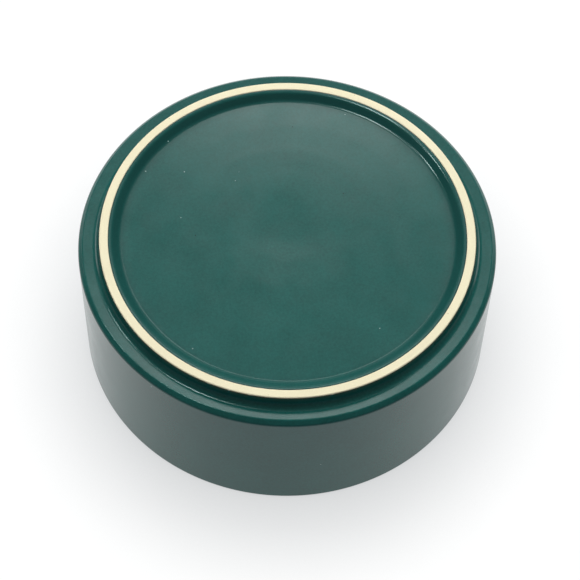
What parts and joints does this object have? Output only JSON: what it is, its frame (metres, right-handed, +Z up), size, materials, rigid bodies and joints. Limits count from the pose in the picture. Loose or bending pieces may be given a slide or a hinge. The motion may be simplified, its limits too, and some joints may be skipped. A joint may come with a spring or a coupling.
{
  "type": "inkwell",
  "caption": "Low round glazed stoneware ink pot, turned upside down on its rim to show its bare foot ring, with an inset saucer lid under it.",
  "frame": {"origin": "centre of the rim's plane, on the table that the upturned pot stands on", "axes": "+Z up along the pot's axis, from the rim to the foot ring; the piece is round, so X and Y are any two level directions"},
  "size_m": [0.12, 0.12, 0.048],
  "materials": {
    "stoneware": "bare fired clay, matt, cream",
    "green_glaze": "glossy dark blue-green glaze"
  },
  "bodies": {
    "lid": {"lid_body": "stoneware", "lid_face_glaze": "green_glaze", "lid_inner_glaze": "green_glaze"},
    "pot": {"pot_body": "stoneware", "outer_glaze": "green_glaze", "well_glaze": "green_glaze", "base_glaze": "green_glaze"}
  },
  "joints": [
    {"name": "pot_lift", "type": "slide", "parent": "lid", "child": "pot", "axis": [0, 0, 1], "range_m": [0, 0.06]}
  ]
}
